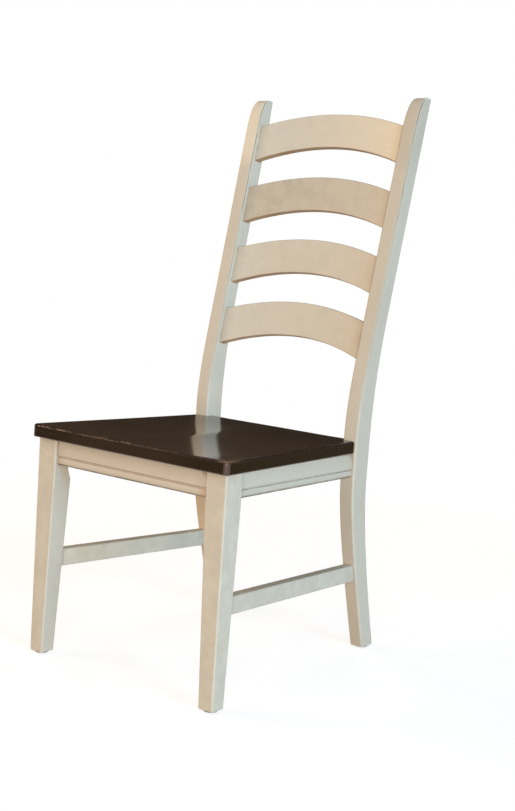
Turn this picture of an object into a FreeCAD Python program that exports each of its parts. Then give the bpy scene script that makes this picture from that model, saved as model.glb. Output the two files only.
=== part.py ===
# A ladderback dining chair. Four arched and bowed slats stand between two raked back
# posts, and a scooped wooden seat lies on a beaded apron over tapered front legs.
# Lengths are in millimetres and angles in degrees. +X is the right-hand side seen from
# the front, -Y is the front and +Z is up. The pieces are drawn with Y = 0 on the front
# faces of the front legs, and moved at the end so that the origin is on the floor under
# the middle of the chair.

import FreeCAD
import Part
import math
import os

V = FreeCAD.Vector

# Seat
seat_height = 460.0             # floor to the top of the seat's front edge
seat_pitch = 0.87               # fall of the seat towards the back
seat_thickness = 25.4
seat_front_width = 492.6
seat_back_width = 415.2         # at the front faces of the back posts
seat_front_overhang = 11.7       # past the front faces of the front legs
seat_corner_radius = 10.0
seat_back_corner_radius = 6.0
seat_top_round = 5.0
seat_bottom_round = 2.5
seat_notch_gap = 0.5            # between the seat and the sides of the posts
scoop_spacing = 228.0           # between the middles of the two thigh scoops
scoop_depth = 8.0
scoop_section_radius = 420.0    # across the scoop
scoop_length_radius = 3500.0    # along the scoop
scoop_deepest = 185.0           # behind the legs' front faces

# Front legs
leg_span = 472.5                # over the outer faces
leg_square = 46.6
leg_foot_square = 33.2
leg_edge_radius = 3.0
leg_taper_below_rail = 15.0     # square part of the leg that shows under the rail
leg_chamfer = 12.0              # on the inner corner, where the corner block bears
leg_runout_radius = 88.0

# Back posts
post_front = 443.6              # front faces of the legs to those of the posts
post_span = 428.6               # over the outer faces at the seat
post_splay = 0.44               # each post leans outwards
post_width = 33.8
post_foot_width = 30.5
post_tip_width = 31.2           # at the very top, taken off the inner side
post_tip_taper = 59.0           # height of the part that narrows
post_depth = 51.5               # at the seat
post_top_depth = 39.2           # square to the raked part
post_foot_depth = 42.2
post_foot_kick = 87.1           # the foot stands this far behind the seat joint
post_foot_angle = 16.7
post_foot_handle = 145.8        # reach of the foot's curve
post_joint_handle = 85.5        # reach of the curve into the seat joint
post_flat_margin = 5.0          # the joint's flat runs past the rail and the seat
post_height = 1155.0
post_edge_radius = 2.5
back_rake = 12.27
back_sweep = 39.7               # from the seat joint to where the rake starts
rake_start = 704.4
top_round_height = 69.0
top_flat = 10.0
top_corner_radius = 4.0

# Apron rails
apron_height = 50.0
rail_thickness = 22.0
back_rail_thickness = 20.0
front_rail_setback = 5.3        # behind the front faces of the legs
side_rail_setback = 8.0         # inside the outer faces of the legs
side_rail_back_setback = 9.0    # inside the outer faces of the posts
bead_height = 14.5
bead_bulge = 2.5
quirk_width = 3.5
quirk_flat = 0.8

# Side stretchers
stretcher_height = 34.6
stretcher_thickness = 22.0
stretcher_top = 207.2           # floor to the top edge at the front leg
stretcher_fall = 2.25
stretcher_setback = 7.5
stretcher_edge_radius = 3.0
stretcher_tenon_height = 20.0
stretcher_tenon_thickness = 10.0
stretcher_tenon_length = 18.0

# Slats
slat_names = ["slat_top", "slat_upper_middle", "slat_lower_middle", "slat_bottom"]
slat_height = 77.8              # at the posts
slat_top_rise = 31.9
slat_bottom_rise = 37.0
slat_thickness = 18.0
slat_bow = 15.4
slat_setback = 7.9
slat_edge_radius = 2.0
slat_first_pitch = 136.1        # floor height from the second slat to the top one
slat_pitch = 134.2              # between the others
slat_highest = 1018.4           # lower corners of the top slat
slat_tenon_height = 62.0
slat_tenon_thickness = 9.0
slat_tenon_length = 20.0
back_tenon_height = 16.0
back_tenon_thickness = 9.0
back_tenon_length = 18.0

# Joinery
tenon_gap = 0.15                # between a tenon's cheeks and its mortise
mortise_end_gap = 1.0           # behind a tenon or a dowel
dowel_diameter = 8.0
dowel_length = 40.0
dowel_spacing = 28.0
dowel_gap = 0.1                 # on the radius
block_thickness = 25.0
block_drop = 4.0                # below the underside of the seat
block_height = 38.0
back_block_corner = 18.0        # cut off the back blocks' outer corners
hanger_diameter = 6.0
hanger_in_leg = 30.0
hanger_past_nut = 3.0
hanger_gap = 0.3                # round the bolt in its block
nut_width = 10.0
nut_height = 5.0
washer_diameter = 16.0
washer_thickness = 1.5
screw_diameter = 4.0
screw_head_diameter = 8.0
screw_head_height = 2.6
screw_gap = 0.1
block_screw_length = 30.0
block_screw_spacing = 52.0
seat_screw_bite = 13.0          # length of the seat screws inside the seat
seat_screw_offset = 15.0        # beside the hanger bolt
glide_diameter = 26.0
glide_height = 3.0
glide_round = 1.0
glide_nail_diameter = 2.5
glide_nail_length = 14.0

# Places that follow from the sizes
reach = 2000.0                  # longer than any piece, for cutters
half_leg_span = leg_span / 2
half_post_span = post_span / 2
seat_front = -seat_front_overhang
tan_pitch = math.tan(math.radians(seat_pitch))
cos_pitch = math.cos(math.radians(seat_pitch))
tan_rake = math.tan(math.radians(back_rake))
cos_rake = math.cos(math.radians(back_rake))
tan_splay = math.tan(math.radians(post_splay))
tan_foot = math.tan(math.radians(post_foot_angle))
half_inner_span = half_post_span - post_width
back_rail_back = post_front + back_rail_thickness
diagonal = math.sqrt(0.5)


def seat_top_at(y):
    return seat_height - (y - seat_front) * tan_pitch


def seat_underside_at(y):
    return seat_top_at(y) - seat_thickness / cos_pitch


rail_bottom = seat_underside_at(front_rail_setback) - apron_height
rail_bottom_back = rail_bottom - (post_front - leg_square) * tan_pitch
taper_start = rail_bottom - leg_taper_below_rail
joint_low = rail_bottom_back - post_flat_margin
joint_high = seat_top_at(post_front) + post_flat_margin
block_top = seat_underside_at(post_front) - block_drop
block_bottom = block_top - block_height
block_middle = (block_top + block_bottom) / 2
slat_second = slat_highest - slat_first_pitch
slat_levels = [slat_highest, slat_second, slat_second - slat_pitch, slat_second - 2 * slat_pitch]


# Small helpers

def box(x0, x1, y0, y1, z0, z1):
    return Part.makeBox(x1 - x0, y1 - y0, z1 - z0, V(x0, y0, z0))


def rod(start, end, diameter):
    axis = end.sub(start)
    return Part.makeCylinder(diameter / 2, axis.Length, start, axis)


def line(a, b):
    return Part.makeLine(a, b)


def arc(a, middle, b):
    return Part.Arc(a, middle, b).toShape()


def bezier(poles):
    curve = Part.BezierCurve()
    curve.setPoles(poles)
    return curve.toShape()


def face(edges):
    return Part.Face(Part.Wire(edges))


def polygon(points):
    return Part.Face(Part.makePolygon(points + [points[0]]))


def mirrored(shape):
    return shape.mirror(V(0, 0, 0), V(1, 0, 0))


def both_sides(shape):
    return [shape, mirrored(shape)]


def together(shapes):
    return Part.makeCompound(shapes)


def middle_piece(shape):
    return max(shape.Solids, key=lambda solid: solid.Volume)


def rounded_corner(before, corner, after, radius):
    # The two tangent points and the middle of the arc that rounds a corner.
    to_before = before.sub(corner).normalize()
    to_after = after.sub(corner).normalize()
    half_angle = to_before.getAngle(to_after) / 2
    tangent = radius / math.tan(half_angle)
    bisector = to_before.add(to_after).normalize()
    middle = corner.add(bisector * (radius / math.sin(half_angle) - radius))
    return corner.add(to_before * tangent), middle, corner.add(to_after * tangent)


def rounded_loop(corners, radii):
    # Edges of a closed outline whose corners are rounded; a radius of 0 leaves one sharp.
    count = len(corners)
    rounds = []
    for i in range(count):
        if radii[i] > 0:
            rounds.append(rounded_corner(corners[i - 1], corners[i], corners[(i + 1) % count], radii[i]))
        else:
            rounds.append((corners[i], None, corners[i]))
    edges = []
    for i in range(count):
        first, middle, last = rounds[i]
        if middle is not None:
            edges.append(arc(first, middle, last))
        edges.append(line(last, rounds[(i + 1) % count][0]))
    return edges


def tilt_with_seat(shape):
    # Turns a piece drawn level about the seat's top front edge.
    shape.rotate(V(0, seat_front, seat_height), V(1, 0, 0), -seat_pitch)
    return shape


def under_the_seat(shape):
    # Saws off what stands above the underside of the seat.
    waste = box(-reach, reach, -reach, reach, seat_height - seat_thickness, reach)
    return shape.cut(tilt_with_seat(waste))


# Seat: a solid board with two scoops, notched round the posts

def seat_half_width(y):
    share = (y - seat_front) / (post_front - seat_front)
    return (seat_front_width + (seat_back_width - seat_front_width) * share) / 2


def scoop_tool(x):
    # A barrel that lies along Y; its belly cuts the scoop.
    low = seat_height - scoop_depth
    axis_height = low + scoop_section_radius
    half_length = math.sqrt(2 * scoop_length_radius * scoop_depth) + seat_thickness
    ends = []
    for side in (-1, 1):
        rise = scoop_length_radius - math.sqrt(scoop_length_radius ** 2 - half_length ** 2)
        ends.append(V(x, scoop_deepest + side * half_length, low + rise))
    bottom = arc(ends[0], V(x, scoop_deepest, low), ends[1])
    top_front = V(x, ends[0].y, axis_height)
    top_back = V(x, ends[1].y, axis_height)
    outline = face([bottom, line(ends[1], top_back), line(top_back, top_front), line(top_front, ends[0])])
    sweep = 40.0
    outline.rotate(V(x, 0, axis_height), V(0, 1, 0), -sweep / 2)
    return outline.revolve(V(x, 0, axis_height), V(0, 1, 0), sweep)


def post_notch_tool():
    # Leaves a rounded back corner where the seat's edge meets the face of the post.
    inner = half_inner_span - seat_notch_gap
    side = seat_half_width(post_front)
    corner = seat_back_corner_radius
    z = seat_height - 2 * seat_thickness
    beyond = side + 4 * seat_thickness
    behind = post_front + 4 * seat_thickness
    quarter = corner * (1 - diagonal)
    edges = [line(V(inner, behind, z), V(inner, post_front, z)),
             line(V(inner, post_front, z), V(side - corner, post_front, z)),
             arc(V(side - corner, post_front, z), V(side - quarter, post_front - quarter, z),
                 V(side, post_front - corner, z)),
             line(V(side, post_front - corner, z), V(beyond, post_front - corner, z)),
             line(V(beyond, post_front - corner, z), V(beyond, behind, z)),
             line(V(beyond, behind, z), V(inner, behind, z))]
    return face(edges).extrude(V(0, 0, 4 * seat_thickness))


def make_seat():
    z = seat_height - seat_thickness
    front = seat_half_width(seat_front)
    back = seat_half_width(back_rail_back)
    corners = [V(-front, seat_front, z), V(front, seat_front, z),
               V(back, back_rail_back, z), V(-back, back_rail_back, z)]
    plan = face(rounded_loop(corners, [seat_corner_radius, seat_corner_radius, 0, 0]))
    board = plan.extrude(V(0, 0, seat_thickness))
    top_edges = [edge for edge in board.Edges if edge.BoundBox.ZMin > seat_height - 0.01]
    board = board.makeFillet(seat_top_round, top_edges)
    bottom_edges = [edge for edge in board.Edges if edge.BoundBox.ZMax < z + 0.01]
    board = board.makeFillet(seat_bottom_round, bottom_edges)
    for side in (-1, 1):
        board = board.cut(scoop_tool(side * scoop_spacing / 2))
    board = tilt_with_seat(board)
    notch = post_notch_tool()
    for tool in both_sides(notch):
        board = board.cut(tool)
    return board


# Front legs: square to just below the rail, then tapered on the two inner faces

def leg_section(square, z):
    corners = [V(half_leg_span - square, 0, z), V(half_leg_span, 0, z),
               V(half_leg_span, square, z), V(half_leg_span - square, square, z)]
    return Part.Wire(rounded_loop(corners, [leg_edge_radius] * 4))


def leg_square_at(z):
    share = min(1.0, (z - glide_height) / (taper_start - glide_height))
    return leg_foot_square + (leg_square - leg_foot_square) * share


def leg_chamfer_tool():
    # Bevels the inner corner for the corner block; the round cutter leaves a swept end.
    depth = leg_chamfer * diagonal
    corner = V(half_leg_span - leg_square, leg_square, 0)
    out = V(-diagonal, diagonal, 0)
    across = V(diagonal, diagonal, 0)

    def at(outwards, z):
        return corner.add(out * outwards).add(V(0, 0, z)).sub(across * leg_square)

    high = block_bottom
    low = high - math.sqrt(leg_runout_radius ** 2 - (leg_runout_radius - depth) ** 2)
    centre = leg_runout_radius - depth
    half = math.asin((high - low) / leg_runout_radius) / 2
    middle = at(centre - leg_runout_radius * math.cos(half), high - leg_runout_radius * math.sin(half))
    above = seat_height
    edges = [line(at(-depth, above), at(-depth, high)), arc(at(-depth, high), middle, at(0, low)),
             line(at(0, low), at(leg_square, low)), line(at(leg_square, low), at(leg_square, above)),
             line(at(leg_square, above), at(-depth, above))]
    return face(edges).extrude(across * (2 * leg_square))


def make_leg():
    sections = [leg_section(leg_foot_square, glide_height), leg_section(leg_square, taper_start),
                leg_section(leg_square, seat_height)]
    leg = Part.makeLoft(sections, True, True)
    return under_the_seat(leg.cut(leg_chamfer_tool()))


# Back posts: sawn to a sweep in side view, rounded over at the top

def rake_line(z):
    # Front edge of the raked part, in side view.
    return post_front + back_sweep + (z - rake_start) * tan_rake


def make_post():
    joint_back = post_front + post_depth
    through = post_top_depth / cos_rake
    below = -2 * glide_height
    foot_front = post_front + post_foot_kick
    foot_back = foot_front + post_foot_depth
    handle = (rake_start - joint_high) / 3

    def at(y, z):
        return V(0, y, z)

    def foot_curve(foot, joint):
        lower = at(foot - post_foot_handle * tan_foot, glide_height + post_foot_handle)
        return bezier([at(foot, glide_height), lower, at(joint, joint_low - post_joint_handle),
                       at(joint, joint_low)])

    def rake_curve(joint, raked):
        upper = at(raked - handle * tan_rake, rake_start - handle)
        return bezier([at(joint, joint_high), at(joint, joint_high + handle), upper, at(raked, rake_start)])

    round_start = post_height - top_round_height
    top_back = at(rake_line(post_height) + through, post_height)
    top_front = at(top_back.y - top_flat, post_height)
    quarter = 4 * (math.sqrt(2) - 1) / 3
    rolled = bezier([at(rake_line(round_start), round_start),
                     at(rake_line(round_start + quarter * top_round_height),
                        round_start + quarter * top_round_height),
                     at(top_front.y - quarter * (top_front.y - rake_line(round_start)), post_height),
                     top_front])
    raked_back = at(rake_line(rake_start) + through, rake_start)
    corner_start, corner_middle, corner_end = rounded_corner(top_front, top_back, raked_back, top_corner_radius)
    lean = (glide_height - below) * tan_foot
    edges = [line(at(foot_back + lean, below), at(foot_front + lean, below)),
             line(at(foot_front + lean, below), at(foot_front, glide_height)),
             foot_curve(foot_front, post_front),
             line(at(post_front, joint_low), at(post_front, joint_high)),
             rake_curve(post_front, rake_line(rake_start)),
             line(at(rake_line(rake_start), rake_start), at(rake_line(round_start), round_start)),
             rolled,
             line(top_front, corner_start),
             arc(corner_start, corner_middle, corner_end),
             line(corner_end, raked_back),
             rake_curve(joint_back, raked_back.y),
             line(at(joint_back, joint_high), at(joint_back, joint_low)),
             foot_curve(foot_back, joint_back),
             line(at(foot_back, glide_height), at(foot_back + lean, below))]
    post = face(edges).extrude(V(post_width, 0, 0))
    narrowing = post_width - post_foot_width
    slope = narrowing / (joint_low - glide_height)
    low_corner = V((joint_low - below) * slope, 0, below)
    wedge = polygon([V(0, 0, joint_low), low_corner, V(-post_width, 0, below), V(-post_width, 0, joint_low)])
    post = post.cut(wedge.extrude(V(0, 2 * foot_back, 0)))
    tip_start = post_height - post_tip_taper
    above = tip_start + 2 * post_tip_taper
    high_corner = V(2 * (post_width - post_tip_width), 0, above)
    wedge = polygon([V(0, 0, tip_start), high_corner, V(-post_width, 0, above), V(-post_width, 0, tip_start)])
    post = post.cut(wedge.extrude(V(0, 2 * foot_back, 0)))
    long_edges = []
    for edge in post.Edges:
        level = edge.BoundBox.ZMin < below + 0.01
        across = edge.BoundBox.XLength > post_width - narrowing - 0.01
        if not level and not across:
            long_edges.append(edge)
    post = post.makeFillet(post_edge_radius, long_edges)
    post.translate(V(half_inner_span, 0, 0))
    post.rotate(V(half_post_span, 0, seat_height), V(0, 1, 0), post_splay)
    return post.cut(box(-reach, reach, -reach, reach, -reach, glide_height))


# Rails: a board with a bead along its lower edge

def rail_section(thickness, height, origin, outwards):
    # The inner bottom corner is at the origin, and up is +Z.
    def at(out, up):
        return origin.add(outwards * out).add(V(0, 0, up))

    root = thickness - bead_bulge
    quirk_top = bead_height + quirk_width
    edges = [line(at(0, 0), at(root, 0)), arc(at(root, 0), at(thickness, bead_height / 2), at(root, bead_height)),
             line(at(root, bead_height), at(root, bead_height + quirk_flat)),
             line(at(root, bead_height + quirk_flat), at(thickness, quirk_top)),
             line(at(thickness, quirk_top), at(thickness, height)), line(at(thickness, height), at(0, height)),
             line(at(0, height), at(0, 0))]
    return face(edges)


def make_front_rail():
    half = half_leg_span - leg_square
    start = V(-half, front_rail_setback + rail_thickness, rail_bottom)
    section = rail_section(rail_thickness, 2 * apron_height, start, V(0, -1, 0))
    return under_the_seat(section.extrude(V(2 * half, 0, 0)))


side_rail_front_x = half_leg_span - side_rail_setback
side_rail_back_x = half_post_span - side_rail_back_setback
side_rail_toe = math.atan2(side_rail_front_x - side_rail_back_x, post_front - leg_square)


def side_rail_inner(y):
    # Inside face of the right side rail, in plan.
    outer = side_rail_front_x - (y - leg_square) * math.tan(side_rail_toe)
    return outer - rail_thickness / math.cos(side_rail_toe)


def make_side_rail():
    run = post_front - leg_square
    outwards = V(math.cos(side_rail_toe), math.sin(side_rail_toe), 0)
    along = V(-math.tan(side_rail_toe), 1, -tan_pitch)
    outer = V(side_rail_front_x, leg_square, rail_bottom)
    start = outer.sub(outwards * rail_thickness).sub(along * leg_square)
    section = rail_section(rail_thickness, 2 * apron_height, start, outwards)
    rail = section.extrude(along * (run + 2 * leg_square))
    rail = rail.common(box(0, reach, leg_square, post_front, 0, reach))
    return under_the_seat(rail)


# Stretchers: rounded bars between the legs and the posts, with a tenon at each end

def post_face_behind(post, x, z):
    # Where a level line that runs back from the leg meets the post.
    probe = line(V(x, leg_square, z), V(x, post_front + post_foot_kick, z)).cut(post)
    return min(edge.BoundBox.YMax for edge in probe.Edges)


def make_stretcher(leg, post):
    # Gives the stretcher and the cutter for its two mortises.
    front_x = half_leg_span - stretcher_setback
    front_y = leg_square_at(stretcher_top)
    back_x = half_post_span - (seat_height - stretcher_top) * tan_splay - stretcher_setback
    back_y = post_face_behind(post, back_x - stretcher_thickness / 2, stretcher_top)
    toe = math.atan2(front_x - back_x, back_y - front_y)
    length = (back_y - front_y) / math.cos(toe)

    def bar(height, thickness, edge_radius, extra):
        side = (stretcher_thickness - thickness) / 2
        high = (height - stretcher_height) / 2
        corners = [V(-side, -extra, high - height), V(-side, -extra, high),
                   V(-side - thickness, -extra, high), V(-side - thickness, -extra, high - height)]
        shape = face(rounded_loop(corners, [edge_radius] * 4)).extrude(V(0, length + 2 * extra, 0))
        shape.rotate(V(0, 0, 0), V(1, 0, 0), -stretcher_fall)
        shape.rotate(V(0, 0, 0), V(0, 0, 1), math.degrees(toe))
        shape.translate(V(front_x, front_y, stretcher_top))
        return shape

    body = bar(stretcher_height, stretcher_thickness, stretcher_edge_radius, leg_foot_square)
    body = middle_piece(body.cut(leg).cut(post))
    tenon = bar(stretcher_tenon_height, stretcher_tenon_thickness, 0, stretcher_tenon_length)
    mortise = bar(stretcher_tenon_height + 2 * tenon_gap, stretcher_tenon_thickness + 2 * tenon_gap, 0,
                  stretcher_tenon_length + mortise_end_gap)
    return body.fuse(tenon).removeSplitter(), mortise


# Slats: bowed boards with an arched top and bottom, tenoned into the posts

def bowed_band(y, half, bow, thickness, z0, z1):
    # A board that bows back by the same amount on both faces.
    front = [V(-half, y, z0), V(0, y + bow, z0), V(half, y, z0)]
    back = [point.add(V(0, thickness, 0)) for point in front]
    edges = [arc(front[0], front[1], front[2]), line(front[2], back[2]),
             arc(back[2], back[1], back[0]), line(back[0], front[0])]
    return face(edges).extrude(V(0, 0, z1 - z0))


def arched_outline(half, low, height, y):
    bottom = [V(-half, y, low), V(0, y, low + slat_bottom_rise), V(half, y, low)]
    top_middle = V(0, y, low + height + slat_top_rise)
    edges = [arc(bottom[0], bottom[1], bottom[2]), line(bottom[2], V(half, y, low + height)),
             arc(V(half, y, low + height), top_middle, V(-half, y, low + height)),
             line(V(-half, y, low + height), bottom[0])]
    return face(edges)


def make_slat(low, posts):
    # Drawn upright with its front corners on the rake line, then leaned back with the posts.
    y = rake_line(low) + slat_setback / cos_rake
    half = half_inner_span + (low - seat_height) * tan_splay + post_edge_radius
    band = bowed_band(y, half, slat_bow, slat_thickness, low, low + slat_height + 2 * slat_top_rise)
    outline = arched_outline(half, low, slat_height, y - slat_thickness)
    slat = band.common(outline.extrude(V(0, 3 * slat_thickness + slat_bow, 0)))
    long_edges = [edge for edge in slat.Edges if edge.BoundBox.XLength > half]
    slat = slat.makeFillet(slat_edge_radius, long_edges)

    def tenon(gap, length):
        tall = slat_tenon_height + 2 * gap
        thick = slat_tenon_thickness + 2 * gap
        z = low + (slat_height - tall) / 2
        front = y + (slat_thickness - thick) / 2
        inner = half - 4 * post_edge_radius
        return [box(inner, half + length, front, front + thick, z, z + tall),
                box(-half - length, -inner, front, front + thick, z, z + tall)]

    tenons = tenon(0, slat_tenon_length - post_edge_radius)
    mortises = tenon(tenon_gap, slat_tenon_length - post_edge_radius + mortise_end_gap)
    for shape in [slat] + tenons + mortises:
        shape.rotate(V(0, y, low), V(1, 0, 0), -back_rake)
    for post in posts:
        slat = slat.cut(post)
    slat = middle_piece(slat)
    return slat.fuse(tenons).removeSplitter(), mortises


# Back rail: a plain board with a stub tenon at each end

def make_back_rail(posts):
    bottom = rail_bottom_back
    half = half_inner_span + post_edge_radius
    rail = box(-half, half, post_front, back_rail_back, bottom, seat_height)
    for post in posts:
        rail = rail.cut(post)
    rail = under_the_seat(middle_piece(rail))
    z = bottom + apron_height / 2

    def tenon(gap, length):
        reach_x = half_inner_span + length
        y = (post_front + back_rail_back) / 2
        high = back_tenon_height / 2 + gap
        deep = back_tenon_thickness / 2 + gap
        return box(-reach_x, reach_x, y - deep, y + deep, z - high, z + high)

    return rail.fuse(tenon(0, back_tenon_length)).removeSplitter(), tenon(tenon_gap, back_tenon_length + mortise_end_gap)


# Corner blocks: bars set across the corners of the apron

def front_block_place():
    # A point on the leg's bevel, and the direction out of the leg.
    corner = V(half_leg_span - leg_square, leg_square, block_middle)
    return corner.add(V(leg_chamfer / 2, -leg_chamfer / 2, 0)), V(-diagonal, diagonal, 0)


def back_block_place():
    corner = V(side_rail_inner(post_front), post_front, block_middle)
    out = V(-diagonal, -diagonal, 0)
    return corner.add(out * back_block_corner), out


def make_block(place, out):
    across = V(-out.y, out.x, 0)
    half = 4 * block_thickness
    low = place.sub(across * half).sub(V(0, 0, block_height / 2))
    outline = polygon([low, low.add(across * (2 * half)), low.add(across * (2 * half)).add(out * block_thickness),
                       low.add(out * block_thickness)])
    bar = outline.extrude(V(0, 0, block_height))
    y0 = front_rail_setback + rail_thickness
    room = polygon([V(0, y0, 0), V(side_rail_inner(y0), y0, 0), V(side_rail_inner(post_front), post_front, 0),
                    V(0, post_front, 0)])
    return bar.common(room.extrude(V(0, 0, seat_height)))


def block_screw_lines(place, out):
    across = V(-out.y, out.x, 0)
    start = place.add(out * block_thickness)
    lines = []
    for side in (-1, 1):
        top = start.add(across * (side * block_screw_spacing / 2))
        lines.append((top, top.sub(out * block_screw_length)))
    return lines


def seat_screw_line(place, out):
    across = V(-out.y, out.x, 0)
    foot = place.add(out * (block_thickness / 2)).add(across * seat_screw_offset)
    foot = V(foot.x, foot.y, block_bottom)
    return foot, V(foot.x, foot.y, seat_underside_at(foot.y) + seat_screw_bite)


def countersunk_screw(head, tip, gap):
    # The head lies flush; the gap is left on the radius.
    along = tip.sub(head).normalize()
    shank = rod(head, tip.add(along * gap), screw_diameter + 2 * gap)
    cone = Part.makeCone(screw_head_diameter / 2 + gap, screw_diameter / 2 + gap, screw_head_height, head, along)
    return shank.fuse(cone).removeSplitter()


# Hanger bolts: screwed into the front legs, with a washer and a nut inside each block

def hanger_parts(place, out):
    wall = place.add(out * block_thickness)
    under_nut = wall.add(out * washer_thickness)
    end = under_nut.add(out * (nut_height + hanger_past_nut))
    bolt = rod(place.sub(out * hanger_in_leg), end, hanger_diameter)
    hole = hanger_diameter + 2 * hanger_gap
    washer = rod(wall, under_nut, washer_diameter).cut(rod(place, end, hole))
    across = V(-out.y, out.x, 0)
    corner_radius = nut_width / math.sqrt(3)
    corners = []
    for i in range(6):
        angle = math.radians(60 * i)
        corners.append(under_nut.add(across * (corner_radius * math.cos(angle)))
                       .add(V(0, 0, corner_radius * math.sin(angle))))
    nut = polygon(corners).extrude(out * nut_height).cut(rod(place, end, hanger_diameter + 2 * screw_gap))
    bolt_holes = rod(place.sub(out * (hanger_in_leg + mortise_end_gap)), end, hanger_diameter + 2 * screw_gap)
    block_hole = rod(place, end, hole)
    return bolt, washer, nut, bolt_holes, block_hole


# Dowels: two at each end of the front rail and of the side rails

def dowel_pair(middle, along, gap, end_gap):
    half = along * (dowel_length / 2 + end_gap)
    pair = []
    for side in (-1, 1):
        centre = middle.add(V(0, 0, side * dowel_spacing / 2))
        pair.append(rod(centre.sub(half), centre.add(half), dowel_diameter + 2 * gap))
    return pair


def dowel_places():
    half_rail = rail_thickness / 2
    front = V(half_leg_span - leg_square, front_rail_setback + half_rail, rail_bottom + apron_height / 2)
    side_front = V(side_rail_front_x - half_rail, leg_square, rail_bottom + apron_height / 2)
    side_back = V(side_rail_back_x - half_rail, post_front, rail_bottom_back + apron_height / 2)
    return front, side_front, side_back


# Glides: nailed under the feet

def make_glide(x, y):
    disc = Part.makeCylinder(glide_diameter / 2, glide_height, V(x, y, 0))
    lower_edge = [edge for edge in disc.Edges if edge.BoundBox.ZMax < glide_round / 2]
    disc = disc.makeFillet(glide_round, lower_edge)
    nail = rod(V(x, y, glide_height / 2), V(x, y, glide_height + glide_nail_length), glide_nail_diameter)
    hole = rod(V(x, y, 0), V(x, y, glide_height + glide_nail_length + mortise_end_gap),
               glide_nail_diameter + 2 * screw_gap)
    return disc.fuse(nail).removeSplitter(), hole


# The whole chair

def build():
    pieces = {}
    leg = make_leg()
    post = make_post()
    leg_cuts = []
    post_cuts = []
    left_post_cuts = []
    posts = both_sides(post)

    stretcher, mortise = make_stretcher(leg, post)
    leg_cuts.append(mortise)
    post_cuts.append(mortise)

    for i in range(len(slat_names)):
        slat, mortises = make_slat(slat_levels[i], posts)
        pieces[slat_names[i]] = slat
        post_cuts.append(mortises[0])

    back_rail, back_mortise = make_back_rail(posts)
    pieces["back_rail"] = back_rail
    post_cuts.append(back_mortise)

    front_rail = make_front_rail()
    side_rail = make_side_rail()
    front_joint, side_front_joint, side_back_joint = dowel_places()
    front_pair = dowel_pair(front_joint, V(1, 0, 0), 0, 0)
    front_pair_holes = dowel_pair(front_joint, V(1, 0, 0), dowel_gap, mortise_end_gap)
    side_pairs = []
    side_pair_holes = []
    for joint in (side_front_joint, side_back_joint):
        side_pairs += dowel_pair(joint, V(0, 1, 0), 0, 0)
        side_pair_holes += dowel_pair(joint, V(0, 1, 0), dowel_gap, mortise_end_gap)
    for hole in front_pair_holes:
        front_rail = front_rail.cut(hole).cut(mirrored(hole))
        leg_cuts.append(hole)
    for hole in side_pair_holes:
        side_rail = side_rail.cut(hole)
        leg_cuts.append(hole)
        post_cuts.append(hole)
    pieces["front_rail_dowels"] = together(front_pair + [mirrored(dowel) for dowel in front_pair])
    pieces["side_rail_dowels"] = together(side_pairs + [mirrored(dowel) for dowel in side_pairs])

    place, out = front_block_place()
    bolt, washer, nut, leg_hole, block_hole = hanger_parts(place, out)
    leg_cuts.append(leg_hole)
    front_block = make_block(place, out).cut(block_hole)
    back_place, back_out = back_block_place()
    back_block = make_block(back_place, back_out)
    pieces["hanger_bolts"] = together(both_sides(bolt))
    pieces["hanger_bolt_washers"] = together(both_sides(washer))
    pieces["hanger_bolt_nuts"] = together(both_sides(nut))

    seat = make_seat()
    block_screws = []
    seat_screws = []
    for block_place, block_out, at_front in ((place, out, True), (back_place, back_out, False)):
        block = front_block if at_front else back_block
        for head, tip in block_screw_lines(block_place, block_out):
            hole = countersunk_screw(head, tip, screw_gap)
            block_screws.append(countersunk_screw(head, tip, 0))
            block = block.cut(hole)
            side_rail = side_rail.cut(hole)
            front_rail = front_rail.cut(hole).cut(mirrored(hole))
            pieces["back_rail"] = pieces["back_rail"].cut(hole).cut(mirrored(hole))
        foot, top = seat_screw_line(block_place, block_out)
        hole = countersunk_screw(foot, top, screw_gap)
        seat_screws.append(countersunk_screw(foot, top, 0))
        block = block.cut(hole)
        seat = seat.cut(hole).cut(mirrored(hole))
        if at_front:
            front_block = block
        else:
            back_block = block
    pieces["corner_block_screws"] = together(block_screws + [mirrored(screw) for screw in block_screws])
    pieces["seat_screws"] = together(seat_screws + [mirrored(screw) for screw in seat_screws])

    leg_foot_x = half_leg_span - leg_foot_square / 2
    leg_glide, leg_nail_hole = make_glide(leg_foot_x, leg_foot_square / 2)
    leg_cuts.append(leg_nail_hole)
    post_foot_x = half_post_span - seat_height * tan_splay - post_foot_width / 2
    post_foot_y = post_front + post_foot_kick + post_foot_depth / 2
    post_glide, post_nail_hole = make_glide(post_foot_x, post_foot_y)
    post_cuts.append(post_nail_hole)

    for cutter in leg_cuts:
        leg = leg.cut(cutter)
    for cutter in post_cuts:
        post = post.cut(cutter)

    pieces["seat"] = seat
    pieces["front_rail"] = front_rail
    pairs = {"front_leg": leg, "back_post": post, "side_rail": side_rail, "stretcher": stretcher,
             "corner_block_front": front_block, "corner_block_back": back_block,
             "glide_front": leg_glide, "glide_back": post_glide}
    for name in pairs:
        pieces[name + "_right"] = pairs[name]
        pieces[name + "_left"] = mirrored(pairs[name])
    return pieces


chair = build()
front_edge = chair["seat"].optimalBoundingBox(False).YMin
back_edge = chair["back_post_right"].optimalBoundingBox(False).YMax
to_middle = V(0, -(front_edge + back_edge) / 2, 0)
os.makedirs("parts", exist_ok=True)
for name in sorted(chair):
    piece = chair[name]
    piece.translate(to_middle)
    piece.exportStep("parts/" + name + ".step")
    print(name, len(piece.Solids), "solids", round(piece.Volume / 1000, 2), "cm3", piece.isValid())
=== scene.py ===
import math
import bmesh
import bpy
from mathutils import Matrix, Vector


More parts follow.
